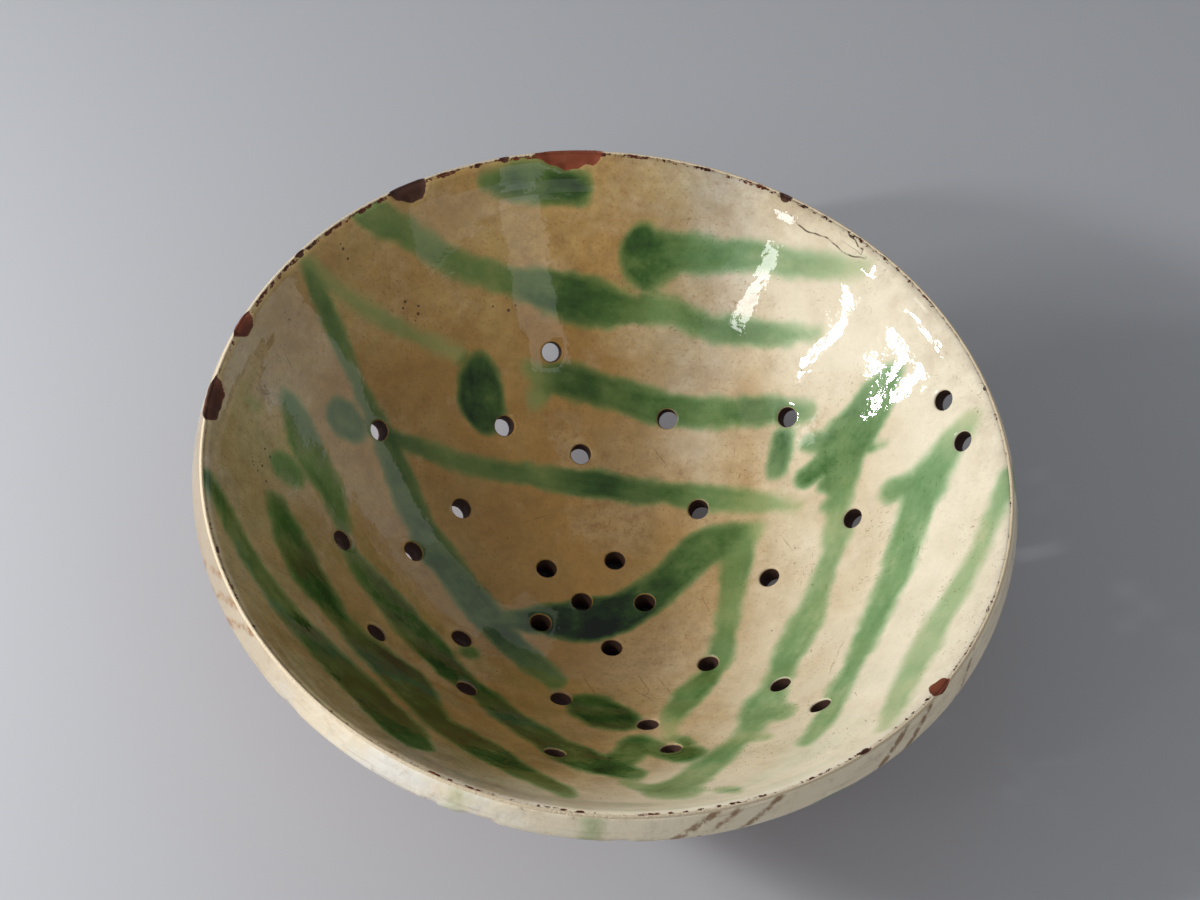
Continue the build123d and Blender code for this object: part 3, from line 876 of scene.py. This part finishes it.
# Deep in each hole the glaze gives way to bare clay, darkened with painted shade
deep = ease(attribute(tree, "hole_depth"), 0.5, 0.9)
worn = use(tree, rubbed_crest, Rub=attribute(tree, "crest_rub"))
rubbed_clay = use(tree, fired_clay, Age=0.55)
ring = ease(attribute(tree, "hole_depth"), 0.05, 0.25, 0, 0.8)
tone = blend(ring, stain.outputs["Color"], ground)
tone = blend(worn.outputs["Bare"], tone, rubbed_clay.outputs["Color"])
tone = blend(chipped, tone, clay.outputs["Color"])
tone = blend(deep, tone, HOLE_SHADE)
wire(tone, shader.inputs["Base Color"])
matt = maths("MAXIMUM", chipped, deep)
gloss = plus(0.012, times(noise(tree, 40, 3), 0.035))
wire(plus(gloss, times(matt, 0.8)), shader.inputs["Roughness"])
ripple = times(noise(tree, 125, 2, 0.5), 0.37)
peel = plus(noise(tree, 50, 1, 0.5), ripple)
peel = plus(peel, times(noise(tree, 330, 2), 0.1))
peel = plus(peel, times(coat.outputs["Specks"], 0.1))
roll = times(attribute(tree, "lip_rise"), MM / PEEL_DEPTH)
peel = plus(peel, roll)
raise_height(shader, peel, PEEL_DEPTH)
glaze_lining.data.materials.append(lining_gloss)
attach(glaze_lining, "root")
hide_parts("glaze_lining", "green_top_strokes", "green_centre_hook", "green_left_fan",
            "green_right_stripes")


# Rim glaze: the same cream glaze, paler and thicker, wiped over the outside of the collar and round its nose
# and fired on. It is stained brown and nicked along its lower edge.
RIM_OUTLINE = np.array([
    (175.6, 123.7), (176.5, 122.5), (177.4, 119.4), (178.5, 115.6), (179.35, 112.6), (179.2, 110.2),
    (177.2, 109.0), (176.4, 109.6), (177.9, 111.0), (178.0, 113.0), (177.0, 117.0), (175.6, 121.6),
    (174.8, 123.4),
])
points, quads = carried_round(hand_rim(RIM_OUTLINE))
bare, depth, age = chip_distance(points)
points[:, 2] -= depth * np.clip(-bare / FLAKE_SLOPE, 0, 1)
# Brown stains and runs of green on the band: bearing in degrees, length along the rim, strength
BAND_STAINS = np.array([
    (-72.5, 7, 0.9), (-69.0, 6, 0.7), (-63.5, 6, 0.8), (-43.0, 6, 1.0), (-38.0, 6, 0.9), (-148.0, 9, 0.7),
    (-143.0, 9, 0.8), (-153.0, 8, 0.6), (-27.0, 5, 0.7), (120.0, 8, 0.6), (175.0, 9, 0.6), (20.0, 7, 0.6),
    (60.0, 7, 0.6),
])
BAND_GREEN = np.array([(6.5, 14, 1.0), (-103.5, 22, 0.26), (-86.0, 20, 0.28)])
NOSE_GREEN = np.array([(-53.0, 14, 2.0)])
SMEAR_LEAN = 1.4
BAND_MIDDLE = 117


def along_rim(points, marks, lean):
    """Sum of the marks at points: each a bell along the rim, leaning with height, times its strength."""
    gap = rim_gap(np.arctan2(points[:, 1], points[:, 0]), marks[:, 0])
    gap = gap - lean * (points[:, 2:] - BAND_MIDDLE)
    return (marks[:, 2] * np.exp(-((2 * gap / marks[:, 1]) ** 2))).sum(1)


# Share of painted shade on the band, most on its left side, at bearings in degrees
BAND_SHADE_SHARE = np.array([
    (-180, 0.75), (-167, 0.85), (-153, 0.85), (-145, 0.75), (-137, 0.65), (-122, 0.15), (-105, 0), (20, 0),
    (120, 0.3), (180, 0.5),
])
soiled = np.interp(np.degrees(np.arctan2(points[:, 1], points[:, 0])), *BAND_SHADE_SHARE.T)
under_nose = np.clip((112.3 - points[:, 2]) / 1.2, 0, 1)
green = along_rim(points, NOSE_GREEN, 0) * under_nose + along_rim(points, BAND_GREEN, 0)
rim_glaze = mesh_piece(
    "rim_glaze", points, quads, bare_edge=bare, bare_age=age, crest_rub=crest_rub(points),
    stain=along_rim(points, BAND_STAINS, SMEAR_LEAN), copper=green, soiled=soiled)
BAND_CREAM = (0.83, 0.71, 0.51, 1)
# Tone of the painted shade on the band's left side
BAND_SHADE_TONE = (0.29, 0.23, 0.16, 1)
RUST = (0.27, 0.148, 0.063, 1)
rim_gloss, tree, shader = surface("rim_gloss")
coat = use(tree, cream_coat, Paleness=1.0, Dirt=0.7, Speckle=0.4)
clay = use(tree, fired_clay, Age=0.72)
thick = ease(noise(tree, 45, 4, 0.6), 0.35, 0.6, 0.5, 0.95)
tone = blend(thick, coat.outputs["Color"], BAND_CREAM)
# Painted shade over the band's left side
tone = blend(attribute(tree, "soiled"), tone, BAND_SHADE_TONE)
tone = blend(ease(noise(tree, 150, 5, 0.7), 0.5, 0.78, 0, 0.3), tone, RUST)
smear = ease(noise(tree, 170, 4, 0.65), 0.3, 0.65, 0.1, 1.3)
smear = times(attribute(tree, "stain"), smear)
tone = blend(ease(smear, 0.15, 0.9, 0, 0.9), tone, RUST)
turned = ease(noise(tree, 26, 4, 0.7, stretch=(1, 1, 14)), 0.5, 0.72, 0, 0.3)
tone = blend(turned, tone, RUST)
painted = ease(attribute(tree, "copper"), 0.0, 0.45, 5, -5)
paint = use(tree, copper_stain, Color=tone, Edge=painted, Copper=attribute(tree, "copper"))
ragged_chip = times(minus(noise(tree, 260, 2), 0.5), 0.9)
chipped = ease(plus(attribute(tree, "bare_edge"), ragged_chip), 0.12, -0.12)
rubbed = ease(noise(tree, 150, 5, 0.7), 0.69, 0.73)
worn = use(tree, rubbed_crest, Rub=attribute(tree, "crest_rub"))
gone = maths("MAXIMUM", maths("MAXIMUM", chipped, rubbed), worn.outputs["Bare"])
wire(blend(gone, paint.outputs["Color"], clay.outputs["Color"]), shader.inputs["Base Color"])
wire(plus(0.2, times(gone, 0.5)), shader.inputs["Roughness"])
raise_height(shader, noise(tree, 110, 3), 0.0008)
rim_glaze.data.materials.append(rim_gloss)
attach(rim_glaze, "root")
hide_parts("rim_glaze")


# Floor: a plain pale sheet under the foot, wide enough to fill the picture.
floor_mesh = bpy.data.meshes.new("floor")
floor_mesh.from_pydata([(-6, -6, 0), (6, -6, 0), (6, 6, 0), (-6, 6, 0)], [], [(0, 1, 2, 3)])
floor = bpy.data.objects.new("floor", floor_mesh)
bpy.context.scene.collection.objects.link(floor)
pale_floor = bpy.data.materials.new("pale_floor")
pale_floor.use_nodes = True
pale_floor.node_tree.nodes["Principled BSDF"].inputs["Base Color"].default_value = (0.47, 0.48, 0.505, 1)
pale_floor.node_tree.nodes["Principled BSDF"].inputs["Roughness"].default_value = 0.9
floor_mesh.materials.append(pale_floor)

# Light: a soft window at the left with small bright panes, which the glaze mirrors as highlights, a broad
# pale board at the far right in three lengths, a narrow glow and a pale card at the near right, and a sky
TARGET = Vector((0, 0, 0.08))


def window(name, place, width, height, radiance, facing=TARGET):
    """Area light facing the bowl or another point, with the power that shows the given radiance."""
    light = bpy.data.lights.new(name, "AREA")
    light.shape = "RECTANGLE"
    light.size, light.size_y = width, height
    light.energy = radiance * pi * width * height
    lamp = bpy.data.objects.new(name, light)
    lamp.location = place
    lamp.rotation_euler = (facing - Vector(place)).to_track_quat("-Z", "Y").to_euler()
    bpy.context.scene.collection.objects.link(lamp)


window("window_surround", (-1.05, -0.62, 0.80), 1.3, 0.9, 0.6)
window("window_glow", (-1.05, -0.62, 0.76), 0.9, 0.6, 0.6)
window("window_front", (-0.632, -0.762, 0.82), 0.07, 0.16, 11)
window("window_arch", (-0.845, -0.42, 0.612), 0.06, 0.022, 60)
window("window_middle", (-0.975, -0.42, 0.74), 0.035, 0.14, 340)
window("window_back", (-0.971, -0.163, 0.523), 0.075, 0.032, 250)
window("window_corner", (-0.991, -0.083, 0.499), 0.075, 0.032, 250)
window("window_low", (-1.011, 0.03, 0.463), 0.075, 0.026, 250)
window("window_side", (-0.995, -0.003, 0.532), 0.065, 0.016, 420)
window("window_ghost", (-0.94, -0.10, 0.743), 0.12, 0.08, 3)
window("pale_board", (1.991, 0.659, 0.72), 1.91, 0.92, 0.75, Vector((1.649, -0.281, 0.72)))
window("pale_board_end", (0.769, 1.103, 0.825), 0.69, 0.75, 0.45, Vector((0.427, 0.163, 0.825)))
window("pale_board_tip", (0.304, 1.273, 1.21), 0.30, 0.78, 0.4, Vector((-0.038, 0.333, 1.21)))
window("door_glow", (0.63, -0.868, 0.98), 0.25, 0.62, 1.0)
window("front_card", (0.846, -1.008, 0.56), 1.2, 0.6, 0.58)
world = bpy.data.worlds.new("sky")
bpy.context.scene.world = world
world.use_nodes = True
world.node_tree.nodes["Background"].inputs["Color"].default_value = (0.92, 0.96, 1.0, 1)
world.node_tree.nodes["Background"].inputs["Strength"].default_value = 0.25

# Camera: looks down into the bowl from the near side, a little rolled, from a long step away
RISE, ROLL = radians(53.918), radians(8.022)
DISTANCE, SIDE, LIFT, FOCUS = 1200.0, 4.80, -1.52, 2786.1
RIM_LEVEL, PICTURE_WIDTH, SENSOR = 125.6, 1200, 36
back = Vector((0, -cos(RISE), sin(RISE)))
level = Vector((1, 0, 0))
above = back.cross(level)
right = cos(ROLL) * level + sin(ROLL) * above
upward = -sin(ROLL) * level + cos(ROLL) * above
centre = Vector((0, 0, RIM_LEVEL)) - (SIDE * right + LIFT * upward - DISTANCE * back)
camera = bpy.data.objects.new("camera", bpy.data.cameras.new("camera"))
bpy.context.scene.collection.objects.link(camera)
turned = Matrix((right, upward, back)).transposed().to_4x4()
camera.matrix_world = Matrix.Translation(centre * MM) @ turned
camera.data.sensor_width = SENSOR
camera.data.lens = FOCUS / PICTURE_WIDTH * SENSOR
camera.data.clip_start, camera.data.clip_end = 0.01, 50
bpy.context.scene.camera = camera
bpy.context.scene.view_settings.view_transform = "Standard"
